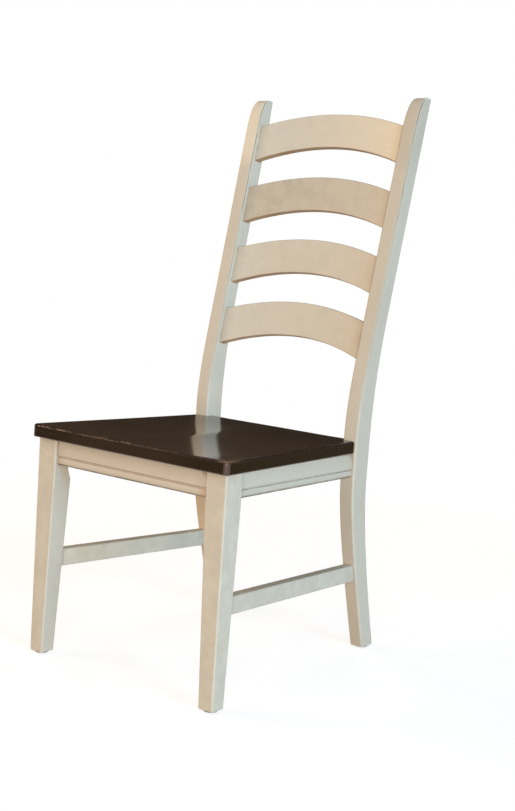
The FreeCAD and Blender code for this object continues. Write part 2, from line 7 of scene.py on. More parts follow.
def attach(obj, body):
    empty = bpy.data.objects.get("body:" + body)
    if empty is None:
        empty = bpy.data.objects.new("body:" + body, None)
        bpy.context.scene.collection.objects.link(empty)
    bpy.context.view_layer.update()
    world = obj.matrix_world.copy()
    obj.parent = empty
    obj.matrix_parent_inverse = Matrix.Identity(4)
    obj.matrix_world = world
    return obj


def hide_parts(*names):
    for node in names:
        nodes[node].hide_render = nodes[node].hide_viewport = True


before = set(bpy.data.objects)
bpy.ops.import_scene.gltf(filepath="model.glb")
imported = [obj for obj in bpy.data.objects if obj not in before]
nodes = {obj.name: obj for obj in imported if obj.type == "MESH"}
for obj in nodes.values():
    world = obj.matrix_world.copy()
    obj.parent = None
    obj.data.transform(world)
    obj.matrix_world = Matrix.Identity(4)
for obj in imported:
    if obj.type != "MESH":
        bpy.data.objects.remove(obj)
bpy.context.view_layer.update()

scene = bpy.context.scene
print("frame loaded")

# Lengths below are in millimetres, with Y = 0 on the front faces of the front legs.
# Pieces are moved back by this much, so that the origin is under the middle of the chair.
middleY = 304.202

seat = {"height": 460.0, "pitch": math.radians(0.87), "thickness": 25.4, "frontWidth": 492.44,
        "backWidth": 422.0, "front": -11.7, "back": 463.6, "corner": 10.0, "backCorner": 6.0,
        "topRound": 5.0, "bottomRound": 2.5, "notch": 180.0}
scoop = {"middle": 114.0, "depth": 5.0, "deepest": 185.0, "across": 1200.0, "along": 7000.0, "soft": 1.0}
leg = {"outer": 236.25, "square": 46.6, "foot": 33.2, "round": 3.0, "taper": 369.339, "bevelLow": 385.683,
       "bevel": 12.0, "runout": 88.0}
post = {"front": 443.6, "outer": 214.3, "width": 33.8, "footWidth": 30.5, "depth": 51.5, "footDepth": 42.2,
        "kick": 87.1, "footReach": 145.8, "jointReach": 85.5, "footAngle": math.radians(16.7), "round": 4.5,
        "splay": math.radians(0.44), "low": 373.31, "high": 458.086, "top": 1154.99,
        "tipWidth": 31.2, "tipTaper": 59.0}
rake = {"angle": math.radians(12.27), "start": 704.4, "startY": 483.3, "depth": 39.2}
slat = {"height": 77.8, "topRise": 31.9, "bottomRise": 37.0, "thickness": 18.0, "bow": 15.4,
        "setback": 7.9, "round": 1.8, "lows": (1018.4, 882.3, 748.1, 613.9)}
rail = {"height": 50.0, "thickness": 22.0, "frontY": 5.3, "sideX": 228.25, "backX": 207.8,
        "bead": 14.5, "bulge": 2.5, "quirk": 3.5}
stretcher = {"height": 34.6, "thickness": 22.0, "top": 207.2, "fall": math.radians(2.25), "inset": 7.5,
             "backInset": 3.5, "round": 3.0}
footHeight = 3.0
halfInner = post["outer"] - post["width"]
tanPitch = math.tan(seat["pitch"])
tanRake = math.tan(rake["angle"])


def place(x, y, z):
    return Vector((x, y - middleY, z)) / 1000


def underSeat(y):
    return seat["height"] - (y - seat["front"]) * tanPitch - seat["thickness"] / math.cos(seat["pitch"])


def clamp(value, low, high):
    return max(low, min(high, value))


# Shader helpers

class Reading:
    # A node's output that can be added and multiplied like a number.
    def __init__(self, tree, socket):
        self.tree = tree
        self.socket = socket

    def join(self, operation, *items):
        node = self.tree.nodes.new("ShaderNodeMath")
        node.operation = operation
        for i in range(len(items)):
            feed(self.tree, node.inputs[i], items[i])
        return Reading(self.tree, node.outputs[0])

    def __add__(self, other):
        return self.join("ADD", self, other)

    def __radd__(self, other):
        return self.join("ADD", other, self)

    def __sub__(self, other):
        return self.join("SUBTRACT", self, other)

    def __rsub__(self, other):
        return self.join("SUBTRACT", other, self)

    def __mul__(self, other):
        return self.join("MULTIPLY", self, other)

    def __rmul__(self, other):
        return self.join("MULTIPLY", other, self)

    def least(self, other):
        return self.join("MINIMUM", self, other)

    def most(self, other):
        return self.join("MAXIMUM", self, other)

    def ramp(self, low, high):
        # 0 at low and 1 at high, which may be given the other way round.
        node = self.tree.nodes.new("ShaderNodeMapRange")
        node.interpolation_type = "SMOOTHSTEP"
        flip = low > high
        feed(self.tree, node.inputs["Value"], self)
        node.inputs["From Min"].default_value = min(low, high)
        node.inputs["From Max"].default_value = max(low, high)
        node.inputs["To Min"].default_value = 1.0 if flip else 0.0
        node.inputs["To Max"].default_value = 0.0 if flip else 1.0
        return Reading(self.tree, node.outputs["Result"])


def feed(tree, socket, item):
    if isinstance(item, Reading):
        tree.links.new(item.socket, socket)
    else:
        socket.default_value = item


def colour(r, g, b):
    # A linear colour from the 0 to 255 values that a screen shows.
    def linear(v):
        v = v / 255
        return v / 12.92 if v <= 0.04045 else ((v + 0.055) / 1.055) ** 2.4
    return (linear(r), linear(g), linear(b), 1.0)


class Finish:
    # A material with its Principled shader, and the readings that its colours are mixed from.
    def __init__(self, name):
        self.material = bpy.data.materials.new(name)
        self.material.use_nodes = True
        self.tree = self.material.node_tree
        self.shader = self.tree.nodes["Principled BSDF"]

    def node(self, kind, **inputs):
        made = self.tree.nodes.new(kind)
        for key in inputs:
            feed(self.tree, made.inputs[key], inputs[key])
        return made

    def attribute(self, name):
        made = self.tree.nodes.new("ShaderNodeAttribute")
        made.attribute_name = name
        split = self.node("ShaderNodeSeparateXYZ", Vector=Reading(self.tree, made.outputs["Vector"]))
        return [Reading(self.tree, split.outputs[i]) for i in range(3)]

    def objectPlace(self):
        made = self.tree.nodes.new("ShaderNodeTexCoord")
        split = self.node("ShaderNodeSeparateXYZ", Vector=Reading(self.tree, made.outputs["Object"]))
        return [Reading(self.tree, split.outputs[i]) for i in range(3)]

    def vector(self, x, y, z):
        made = self.node("ShaderNodeCombineXYZ", X=x, Y=y, Z=z)
        return Reading(self.tree, made.outputs[0])

    def noise(self, where, scale=1.0, detail=3.0, roughness=0.5, distortion=0.0):
        made = self.node("ShaderNodeTexNoise", Vector=where, Scale=scale, Detail=detail,
                         Roughness=roughness, Distortion=distortion)
        return Reading(self.tree, made.outputs["Fac"])

    def mix(self, factor, a, b):
        made = self.tree.nodes.new("ShaderNodeMix")
        made.data_type = "RGBA"
        feed(self.tree, made.inputs["Factor"], factor)
        feed(self.tree, made.inputs[6], a)
        feed(self.tree, made.inputs[7], b)
        return Reading(self.tree, made.outputs[2])

    def bump(self, height, distance, strength=1.0):
        made = self.node("ShaderNodeBump", Height=height, Distance=distance, Strength=strength)
        feed(self.tree, self.shader.inputs["Normal"], Reading(self.tree, made.outputs["Normal"]))

    def put(self, **inputs):
        for key in inputs:
            feed(self.tree, self.shader.inputs[key.replace("_", " ")], inputs[key])


# Cream paint: brushed along each piece, glazed darker in joints with painted shade around them, lighter on
# edges from wear and a painted highlight, and with painted light and shade laid on per piece through the
# tone attribute

def creamPaint():
    finish = Finish("cream_paint")
    along, across, over = finish.attribute("lay")
    sideGap, faceGap, jointGap = finish.attribute("gap")
    x, y, z = finish.objectPlace()
    edge = sideGap.most(faceGap)
    where = finish.vector(x, y, z)
    cloud = finish.noise(where, scale=9.0, detail=2.0)
    fine = finish.noise(where, scale=160.0, detail=3.0)
    brushPlace = finish.vector(along * 9.0, across * 520.0, over * 520.0)
    brush = finish.noise(brushPlace, scale=1.0, detail=4.0, roughness=0.6)
    grainPlace = finish.vector(along * 22.0, across * 1500.0, over * 1500.0)
    grain = finish.noise(grainPlace, scale=1.0, detail=2.0, roughness=0.7)
    body = finish.mix(cloud.ramp(0.3, 0.72), colour(207, 199, 184), colour(205, 196, 180))
    tone, gold, dark = finish.attribute("tone")
    # Lighter and darker paint and a brown glaze from the tone attribute, much of which is painted light and
    # shade: highlights, sheen, warm bounce light and shade laid on per piece.
    body = finish.mix(tone.most(0.0), body, colour(240, 228, 205))
    body = finish.mix((tone * -1.0).most(0.0), body, colour(150, 130, 105))
    body = finish.mix(gold, body, colour(186, 140, 92))
    streak = brush.ramp(0.42, 0.72) * 0.14 + grain.ramp(0.55, 0.78) * 0.08
    body = finish.mix(streak, body, colour(190, 175, 150))
    # Darker brown near joints: a thin glaze line at each joint, and painted shade spreading up to 30 mm
    # from the joints and from the seat's underside.
    jointGlazeAndShade = jointGap.ramp(0.0030, 0.0003) * 0.60 + jointGap.ramp(0.030, 0.001) * 0.14
    body = finish.mix(jointGlazeAndShade.least(0.9), body, colour(146, 117, 82))
    patches = finish.noise(where, scale=38.0, detail=3.0)
    # Lighter paint in patches along the edges: rubbed wear, and in part a painted highlight along the
    # edges.
    wearAndHighlight = edge.ramp(0.0044, 0.0012) * patches.ramp(0.30, 0.62)
    body = finish.mix(wearAndHighlight * 0.24, body, colour(222, 213, 192))
    line = edge.ramp(0.0052, 0.0034) * edge.ramp(0.0022, 0.0032) * patches.ramp(0.66, 0.40)
    body = finish.mix(line * 0.12, body, colour(150, 130, 102))
    # A thin dark line from the tone attribute: glaze lines along edges and the groove, and painted shade
    # along the slats' top edges and the rails' lower edges.
    body = finish.mix(dark * (0.6 + 0.4 * patches.ramp(0.4, 0.6)), body, colour(98, 84, 68))
    finish.put(Base_Color=body, Roughness=0.46 + brush * 0.12)
    finish.shader.inputs["Specular IOR Level"].default_value = 0.18
    finish.bump(brush * 0.7 + grain * 0.3 + fine * 0.25, 0.00028, 0.55)
    return finish.material


def seatStain():
    finish = Finish("seat_stain")
    along, across, over = finish.attribute("lay")
    x, y, z = finish.objectPlace()
    boards = finish.vector(along * 1.3, across * 26.0, over * 26.0)
    broad = finish.noise(boards, scale=1.0, detail=3.0, distortion=0.6)
    lines = finish.vector(along * 7.0, across * 330.0, over * 330.0)
    fine = finish.noise(lines, scale=1.0, detail=4.0, roughness=0.65)
    pores = finish.noise(finish.vector(along * 40.0, across * 1300.0, over * 1300.0), scale=1.0, detail=1.0)
    body = finish.mix(broad.ramp(0.3, 0.7), colour(53, 38, 29), colour(67, 46, 32))
    side, ends, flank = finish.attribute("tone")
    rounding, crest, _ = finish.attribute("gap")
    chips = finish.noise(finish.vector(x, y, z), scale=150.0, detail=2.0)
    # Painted shade on the upright edge faces: the front face darker towards its ends, and the side faces a
    # darker brown.
    front = finish.mix(ends, colour(53, 40, 30), colour(42, 33, 21))
    # The top painted lighter and redder towards the front and darker towards the back: painted light and
    # shade.
    body = finish.mix(across.ramp(0.16, 0.0) * 0.6, body, colour(82, 58, 42))
    body = finish.mix(rounding.least(1.0), body, colour(44, 33, 24))
    body = finish.mix(across.ramp(0.20, 0.42) * 0.5, body, colour(39, 29, 22))
    body = finish.mix(side, body, finish.mix(flank, front, colour(42, 28, 10)))
    body = finish.mix(fine.ramp(0.45, 0.75) * 0.5, body, colour(24, 17, 12))
    body = finish.mix(fine.ramp(0.42, 0.28) * 0.3, body, colour(88, 54, 36))
    # A painted golden highlight along the rounding of the front top edge, broken into dashes by noise.
    highlightBreaks = finish.noise(finish.vector(x, y, z), scale=52.0, detail=3.0)
    body = finish.mix(crest * highlightBreaks.ramp(0.46, 0.60) * 0.62, body, colour(178, 136, 98))
    body = finish.mix(pores.ramp(0.62, 0.8) * 0.5, body, colour(18, 12, 9))
    whole = (1.0 - rounding * chips.ramp(0.38, 0.56) * 0.9).most(0.0)
    finish.put(Base_Color=body, Roughness=0.5 + fine * 0.1, Coat_Weight=(1.0 - side) * whole)
    finish.shader.inputs["Coat Roughness"].default_value = 0.16
    finish.shader.inputs["Specular IOR Level"].default_value = 0.05
    finish.bump(fine * 0.5 + pores * 0.2 + broad * 0.2, 0.00006, 0.3)
    return finish.material


def plainWood():
    finish = Finish("plain_wood")
    x, y, z = finish.objectPlace()
    where = finish.vector(x * 34.0, y * 34.0, z * 260.0)
    grain = finish.noise(where, scale=1.0, detail=4.0, roughness=0.6, distortion=0.4)
    pores = finish.noise(finish.vector(x * 160.0, y * 160.0, z * 1300.0), scale=1.0, detail=1.0)
    body = finish.mix(grain.ramp(0.35, 0.7), colour(206, 172, 124), colour(176, 138, 92))
    body = finish.mix(pores.ramp(0.6, 0.75) * 0.5, body, colour(128, 94, 58))
    finish.put(Base_Color=body, Roughness=0.62 + grain * 0.14)
    finish.bump(grain * 0.6 + pores * 0.4, 0.0002, 0.5)
    return finish.material


def steel():
    finish = Finish("zinc_steel")
    x, y, z = finish.objectPlace()
    where = finish.vector(x, y, z)
    spangle = finish.noise(where, scale=700.0, detail=2.0)
    turned = finish.noise(finish.vector(x * 200.0, y * 200.0, z * 2600.0), scale=1.0, detail=2.0)
    body = finish.mix(spangle.ramp(0.3, 0.7), colour(196, 194, 186), colour(170, 168, 160))
    finish.put(Base_Color=body, Roughness=0.28 + turned * 0.18)
    finish.shader.inputs["Metallic"].default_value = 1.0
    finish.bump(turned, 0.00006, 0.4)
    return finish.material


def glidePlastic():
    finish = Finish("glide_plastic")
    x, y, z = finish.objectPlace()
    where = finish.vector(x, y, z)
    scuff = finish.noise(where, scale=420.0, detail=4.0, roughness=0.7)
    body = finish.mix(scuff.ramp(0.4, 0.75), colour(34, 29, 25), colour(62, 54, 46))
    finish.put(Base_Color=body, Roughness=0.42 + scuff * 0.25)
    finish.bump(scuff, 0.00015, 0.6)
    return finish.material


paint = creamPaint()
stain = seatStain()
bareWood = plainWood()
zinc = steel()
plastic = glidePlastic()
print("materials made")


# Mesh helpers

def newObject(name, bm, material, sharp=40.0):
    bmesh.ops.recalc_face_normals(bm, faces=bm.faces)
    mesh = bpy.data.meshes.new(name)
    bm.to_mesh(mesh)
    bm.free()
    mesh.shade_smooth()
    mesh.set_sharp_from_angle(angle=math.radians(sharp))
    mesh.materials.append(material)
    piece = bpy.data.objects.new(name, mesh)
    scene.collection.objects.link(piece)
    modifier = piece.modifiers.new("weighted_normal", "WEIGHTED_NORMAL")
    modifier.keep_sharp = True
    modifier.weight = 80
    return piece


def finishPiece(piece, slot, *replaced):
    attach(piece, "root")
    if replaced:
        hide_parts(*replaced)


def rounded(x0, x1, y0, y1, radius, steps=4):
    # A rectangle with rounded corners, anticlockwise, in its own plane.
    loop = []
    for cx, cy, start in ((x1 - radius, y1 - radius, 0), (x0 + radius, y1 - radius, 90),
                          (x0 + radius, y0 + radius, 180), (x1 - radius, y0 + radius, 270)):
        for i in range(steps + 1):
            angle = math.radians(start + 90 * i / steps)
            loop.append((cx + radius * math.cos(angle), cy + radius * math.sin(angle)))
    return loop


def setLay(mesh, lays, gaps, tones=None):
    # lay: the distance along the piece and its two distances from the middle line.
    # gap: the distances to the side edges, to the face edges and to the nearest joint.
    for name, values in (("lay", lays), ("gap", gaps)):
        layer = mesh.attributes.new(name, "FLOAT_VECTOR", "POINT")
        flat = [number for value in values for number in value]
        layer.data.foreach_set("vector", flat)
    # tone: lighter or darker paint, much of it painted light and shade; brown glaze, in places painted warm
    # light and shade; and a thin dark line, in places painted shade.
    shade = mesh.attributes.new("tone", "FLOAT_VECTOR", "POINT")
    flat = [number for value in tones or [(0.0, 0.0, 0.0)] * len(lays) for number in value]
    shade.data.foreach_set("vector", flat)


def tube(name, rings, lays, gaps, slot, *replaced, tones=None, sharp=40.0):
    # A closed skin over rings of points with the same count.
    bm = bmesh.new()
    count = len(rings[0])
    made = [[bm.verts.new(place(*p)) for p in ring] for ring in rings]
    for a, b in zip(made[:-1], made[1:]):
        for i in range(count):
            bm.faces.new((a[i], a[(i + 1) % count], b[(i + 1) % count], b[i]))
    bm.faces.new(made[0])
    bm.faces.new(made[-1])
    piece = newObject(name, bm, paint, sharp=sharp)
    flat = [tone for ring in tones for tone in ring] if tones else None
    setLay(piece.data, [lay for ring in lays for lay in ring], [gap for ring in gaps for gap in ring], flat)
    finishPiece(piece, slot, *replaced)
    return piece


def mirrorName(side):
    return "right" if side > 0 else "left"


# Front legs

def legSquare(z):
    share = clamp((z - footHeight) / (leg["taper"] - footHeight), 0, 1)
    return leg["foot"] + (leg["square"] - leg["foot"]) * share


def makeLeg(side):
    # Heights, each with how far the ring is drawn in: an eased foot, then closer rings at the run-out.
    ease = 1.2
    levels = [(footHeight, ease), (footHeight + 0.4, 0.5), (footHeight + ease, 0.0)]
    levels += [(footHeight + ease + (330 - footHeight) * i / 20, 0.0) for i in range(1, 21)]
    levels += [(332.0 + 2.0 * i, 0.0) for i in range(45)]
    levels.append((seat["height"], 0.0))
    rings, lays, gaps = [], [], []
    bevelDepth = leg["bevel"] * math.sqrt(0.5)
    for z, tuck in levels:
        square = legSquare(z)
        x0 = leg["outer"] - square
        loop = rounded(x0 + tuck, leg["outer"] - tuck, tuck, square - tuck, leg["round"], 5)
        loop = denser(loop, x0, square)
        drop = clamp(leg["bevelLow"] - z, 0, leg["runout"])
        cut = bevelDepth - (leg["runout"] - math.sqrt(leg["runout"] ** 2 - drop ** 2))
        limit = (leg["square"] - (leg["outer"] - leg["square"])) * math.sqrt(0.5) - cut
        ring, lay, gap = [], [], []
        for px, py in loop:
            out = (py - px) * math.sqrt(0.5)
            if out > limit:
                px += (out - limit) * math.sqrt(0.5)
                py -= (out - limit) * math.sqrt(0.5)
            level = min(z, underSeat(py))
            ring.append((side * px, py, level))
            a = px - (leg["outer"] - square / 2)
            b = py - square / 2
            lay.append((level / 1000, a / 1000, b / 1000))
            joint = max(0.3, underSeat(20) - level)
            gap.append(((square / 2 - abs(a)) / 1000, (square / 2 - abs(b)) / 1000, joint / 1000))
        rings.append(ring)
        lays.append(lay)
        gaps.append(gap)
    name = mirrorName(side)
    tube("leg_front_" + name, rings, lays, gaps, "cream_paint", "front_leg_" + name)


def denser(loop, x0, square):
    # Extra points near the inner back corner, where the bevel cuts.
    more = []
    count = len(loop)
    for i in range(count):
        a, b = loop[i], loop[(i + 1) % count]
        more.append(a)
        beside = min(math.dist(a, (x0, square)), math.dist(b, (x0, square))) < 5
        if math.dist(a, b) > 6 and beside:
            for k in range(1, 24):
                share = k / 24
                more.append((a[0] + (b[0] - a[0]) * share, a[1] + (b[1] - a[1]) * share))
    return more


for side in (1, -1):
    makeLeg(side)
print("front legs made")


# Back posts: the side outline, extruded, eased and leaned outwards

def bezier(a, b, c, d, steps):
    points = []
    for i in range(steps):
        t = i / steps
        u = 1 - t
        points.append(tuple(u ** 3 * a[k] + 3 * u * u * t * b[k] + 3 * u * t * t * c[k] + t ** 3 * d[k]
                            for k in range(2)))
    return points


def rakeLine(z):
    return rake["startY"] + (z - rake["start"]) * tanRake


def run(a, b, steps):
    return [(a[0] + (b[0] - a[0]) * i / steps, a[1] + (b[1] - a[1]) * i / steps) for i in range(steps)]


def footCurve(foot, joint, steps):
    reach = post["footReach"]
    return bezier((foot, footHeight), (foot - reach * math.tan(post["footAngle"]), footHeight + reach),
                  (joint, post["low"] - post["jointReach"]), (joint, post["low"]), steps)


def rakeCurve(joint, raked, steps):
    handle = (rake["start"] - post["high"]) / 3
    return bezier((joint, post["high"]), (joint, post["high"] + handle),
                  (raked - handle * tanRake, rake["start"] - handle), (raked, rake["start"]), steps)


# The tip of a post: its front rolls back over a set height to a short flat top.
through = rake["depth"] / math.cos(rake["angle"])
rollHeight = 69.0
rollStart = post["top"] - rollHeight
topFlat = 10.0
topBack = rakeLine(post["top"]) + through
topFront = topBack - topFlat


def rolledCurve():
    # The handle that makes a Bezier curve follow a quarter of a circle.
    quarter = 4 * (math.sqrt(2) - 1) / 3
    return bezier((rakeLine(rollStart), rollStart),
                  (rakeLine(rollStart + quarter * rollHeight), rollStart + quarter * rollHeight),
                  (topFront - quarter * (topFront - rakeLine(rollStart)), post["top"]),
                  (topFront, post["top"]), 22)


def postOutline():
    foot = post["front"] + post["kick"]
    back = post["front"] + post["depth"]
    outline = footCurve(foot, post["front"], 28)
    outline += run((post["front"], post["low"]), (post["front"], post["high"]), 4)
    outline += rakeCurve(post["front"], rake["startY"], 24)
    outline += run((rake["startY"], rake["start"]), (rakeLine(rollStart), rollStart), 30)
    outline += rolledCurve() + [(topFront, post["top"])]
    corner = 4.0
    inside = math.pi / 2 - rake["angle"]
    centre = (topBack - corner / math.tan(inside / 2), post["top"] - corner)
    for i in range(7):
        angle = math.pi / 2 - (math.pi - inside) * i / 6
        outline.append((centre[0] + corner * math.cos(angle), centre[1] + corner * math.sin(angle)))
    raked = (rake["startY"] + through, rake["start"])
    outline += run(outline[-1], raked, 30)[1:]
    outline += list(reversed(rakeCurve(back, raked[0], 24)[1:] + [raked]))
    outline += run((back, post["high"]), (back, post["low"]), 4)
    outline += [(back, post["low"])] + list(reversed(footCurve(foot + post["footDepth"], back, 28)))
    return outline


def edgeAt(points, z):
    # How far back a rising edge lies at a height.
    for a, b in zip(points[:-1], points[1:]):
        if a[1] <= z <= b[1]:
            return a[0] + (b[0] - a[0]) * (z - a[1]) / max(1e-6, b[1] - a[1])
    return points[0][0] if z < points[0][1] else points[-1][0]


def frontAt(z):
    # Front edge of the post at a height, from the same curves.
    return edgeAt(frontEdge, z)


frontEdge = footCurve(post["front"] + post["kick"], post["front"], 60)
frontEdge += [(post["front"], post["low"]), (post["front"], post["high"])]
frontEdge += rakeCurve(post["front"], rake["startY"], 60)
tipEdge = frontEdge + [(rake["startY"], rake["start"])] + rolledCurve()
overTop = 1155.0
frontEdge += [(rake["startY"], rake["start"]), (rakeLine(overTop), overTop)]


def depthAt(z):
    # Depth of the post from front to back at a height.
    share = clamp((z - footHeight) / (post["low"] - footHeight), 0, 1)
    low = post["footDepth"] + (post["depth"] - post["footDepth"]) * share
    share = clamp((z - post["high"]) / (rake["start"] - post["high"]), 0, 1)
    return low + (through - low) * share * share * (3 - 2 * share)


def postTone(side, a, y, z):
    # Lighter and darker paint for the posts: a painted highlight along the rolled tips, painted sheen on
    # the left post's upper front, painted warm light and a lighter tone on the left leg's front under the
    # seat, the left leg's sides a little lighter below the seat, the right post a little darker, most at
    # its tip and on its leg's front, and thin dark lines where the edges are rubbed.
    ahead = y - edgeAt(tipEdge, z)
    front = ahead < 0.8
    tip = clamp((z - 1000) / 40, 0, 1)
    # Painted highlight along the top of the rolled tip.
    if z > post["top"] - 4:
        return (0.9 * clamp((z - post["top"] + 4) / 3, 0, 1), 0.0, 0.0)
    if side > 0:
        light = -0.10 - 0.10 * tip
    else:
        light = 0.6 * tip if front else 0.1 * clamp((560 - z) / 60, 0, 1)
    gold = 0.0
    # Painted warm light and a lighter tone on the left leg's front under the seat, where it lies in shade.
    if side < 0 and front and z < 450:
        gold = 0.42 * clamp((z - 160) / 40, 0, 1)
        light = 0.9 * clamp((z - 160) / 40, 0, 1)
    if side > 0 and front and z < 420:
        light -= 0.06
    eased = abs(a) > post["width"] / 2 - 2.0 and 0.5 < ahead < 2.0
    line = 0.0
    if eased and a * side > 0:
        line = 0.9 if z > 900 else 0.6 * clamp((z - 500) / 100, 0, 1)
    behind = frontAt(z) + depthAt(z) - y
    if side < 0 and a < 2.0 - post["width"] / 2 and z > rollStart - 30 and 0.5 < behind < 2.0:
        line = 0.8
    return (light, gold, line)


def makePost(side):
    outline = postOutline()
    bm = bmesh.new()
    near = [bm.verts.new((0.0, p[0], p[1])) for p in outline]
    far = [bm.verts.new((post["width"], p[0], p[1])) for p in outline]
    count = len(outline)
    bm.faces.new(near)
    bm.faces.new(list(reversed(far)))
    for i in range(count):
        j = (i + 1) % count
        bm.faces.new((near[i], far[i], far[j], near[j]))
    bmesh.ops.recalc_face_normals(bm, faces=bm.faces)
    bm.edges.ensure_lookup_table()
    eased = []
    for e in bm.edges:
        a, b = e.verts
        across = abs(a.co.x - b.co.x) > 1
        foot = a.co.z < footHeight + 0.01 and b.co.z < footHeight + 0.01
        if not across and not foot:
            eased.append(e)
    bmesh.ops.bevel(bm, geom=eased, offset=post["round"], segments=4, profile=0.5,
                    affect="EDGES", material=-1)
    lowCuts = [footHeight + 18 * i for i in range(1, 22)]
    highCuts = [500.0 + 20 * i for i in range(33)]
    for height in lowCuts + highCuts:
        bmesh.ops.bisect_plane(bm, geom=bm.verts[:] + bm.edges[:] + bm.faces[:], dist=1e-4,
                               plane_co=(0, 0, height), plane_no=(0, 0, 1))
    lays, gaps, tones = [], [], []
    # The inner face tapers to the foot and to the tip; then the post leans outwards.
    slope = (post["width"] - post["footWidth"]) / (post["low"] - footHeight)
    tipSlope = (post["width"] - post["tipWidth"]) / post["tipTaper"]
    for v in bm.verts:
        x, y, z = v.co
        depth = depthAt(z)
        a = x - post["width"] / 2
        b = y - frontAt(z) - depth / 2
        tones.append(postTone(side, a, y, z))
        inward = clamp(1 - x / post["width"], 0, 1)
        x += max(0.0, post["low"] - z) * slope * inward
        x += max(0.0, z - post["top"] + post["tipTaper"]) * tipSlope * inward
        x += halfInner
        turn = post["splay"]
        dx = x - post["outer"]
        dz = z - seat["height"]
        x = post["outer"] + dx * math.cos(turn) + dz * math.sin(turn)
        z = seat["height"] - dx * math.sin(turn) + dz * math.cos(turn)
        v.co = place(side * x, y, z)
        lays.append((z / 1000, a / 1000, b / 1000))
        gaps.append(((post["width"] / 2 - abs(a)) / 1000, max(0.0, depth / 2 - abs(b)) / 1000, 0.2))
    name = mirrorName(side)
    piece = newObject("post_back_" + name, bm, paint, sharp=35.0)
    setLay(piece.data, lays, gaps, tones)
    finishPiece(piece, "cream_paint", "back_post_" + name)


for side in (1, -1):
    makePost(side)
print("back posts made")


# Slats

def makeSlat(name, low, leftTone, rightTone):
    # The arch and the bow are parabolas, drawn a little past the posts' inner faces.
    cosRake = math.cos(rake["angle"])
    sinRake = math.sin(rake["angle"])
    y0 = rakeLine(low) + slat["setback"] / cosRake
    middleUp = 38
    half = halfInner + (low + middleUp - seat["height"]) * math.tan(post["splay"])
    drawn = half + 2.5
    toneStart = 0.35
    count = 72
    rings, lays, gaps, tones = [], [], [], []
    for i in range(count + 1):
        share = -1 + 2 * i / count
        own = leftTone + (rightTone - leftTone) * clamp((share + toneStart) / (1 + toneStart), 0, 1)
        x = half * share
        curve = 1 - (x / drawn) ** 2
        bow = slat["bow"] * curve
        bottom = slat["bottomRise"] * curve
        top = slat["height"] + slat["topRise"] * curve
        loop = rounded(bow, bow + slat["thickness"], bottom, top, slat["round"], 4)
        ring, lay, gap, tone = [], [], [], []
        tall = top - bottom
        for deep, up in loop:
            lean = (up - slat["height"] / 2) * math.sin(post["splay"]) * share
            ring.append((x + lean, y0 + deep * cosRake + up * sinRake, low + up * cosRake - deep * sinRake))
            a = up - (top + bottom) / 2
            b = deep - bow - slat["thickness"] / 2
            lay.append((x / 1000, a / 1000, b / 1000))
            gap.append(((tall / 2 - abs(a)) / 1000, (slat["thickness"] / 2 - abs(b)) / 1000,
                        (half - abs(x) + 0.2) / 1000))
            # Painted warm shade on the underside, and a painted shade line along the top edge.
            under = clamp((bottom + slat["round"] - up) / slat["round"], 0, 1)
            upper = clamp((up - top + slat["round"]) / slat["round"], 0, 1)
            tone.append((own - under * (0.3 + own), 0.75 * under, 0.7 * upper))
        rings.append(ring)
        lays.append(lay)
        gaps.append(gap)
        tones.append(tone)
    tube(name.replace("slat", "rung"), rings, lays, gaps, "cream_paint", name, tones=tones)


# Per slat, how much lighter or darker it is painted at its left and at its right end: painted light and
# shade along each slat.
slatTones = {"slat_top": (-0.03, 0.75), "slat_upper_middle": (-0.38, -0.04),
             "slat_lower_middle": (-0.07, 0.06), "slat_bottom": (-0.05, 0.02)}
for name, low in zip(slatTones, slat["lows"]):
    makeSlat(name, low, *slatTones[name])
print("slats made")


# Apron rails with a bead below a small groove

def beadSection(top):
    # Outwards and upwards distances from the inner bottom corner.
    root = rail["thickness"] - rail["bulge"]
    section = [(0.0, 0.0), (0.0, top), (rail["thickness"], top)]
    quirkTop = rail["bead"] + rail["quirk"]
    # The groove's lips, as distances in from the face and up from the groove's top.
    for inward, up in ((0.0, 3.0), (0.0, 1.3), (0.0, 0.7), (0.25, 0.15), (0.9, -0.35), (1.3, -1.0)):
        section.append((rail["thickness"] - inward, quirkTop + up))
    for out, up in ((0.35, 1.1), (0.0, 0.55), (0.0, 0.0)):
        section.append((root + out, rail["bead"] + up))
    half = rail["bead"] / 2
    radius = (half ** 2 + rail["bulge"] ** 2) / (2 * rail["bulge"])
    for i in range(1, 12):
        up = rail["bead"] * (1 - i / 12)
        out = math.sqrt(radius ** 2 - (up - half) ** 2) - (radius - rail["bulge"])
        section.append((root + out, up))
    section += [(root - 0.2, 0.25), (root - 1.0, 0.0), (1.0, 0.0)]
    return section


def railTone(name, share, length, out, up):
    # The front rail is warm, with brown glaze at its right end; both rails are a little darker as painted
    # shade under the seat, the side rails get more painted shade towards the lower edge, glaze lines run
    # along the groove, and a painted shade line runs along the lower edge.
    front = name == "apron_front"
    outer = out > rail["thickness"] - 4
    # Painted shade under the seat: both rails a little darker.
    light = -0.06 if front else -0.04
    if outer and not front:
        light -= 0.18 * clamp(1 - up / rail["bead"], 0, 1)
    gold = 0.05 if front else 0.0
    if front and up < rail["bead"] + 0.2:
        gold += 0.6 * clamp(1 - (1 - share) * length / 20, 0, 1)
    line = 0.0
    if outer:
        bottomLip = abs(up - rail["bead"] - 0.3) < 0.5
        topLip = abs(up - rail["bead"] - rail["quirk"] - 0.15) < 0.6
        if bottomLip or (topLip and front):
            gold = 0.35 if front else 0.2
            line = 0.4 if front else 0.8
    # Painted shade along the rail's lower edge.
    if up < 3.7 and out > 4:
        line = 0.8 if up < 2.5 else 0.3
    return (light, gold, line)


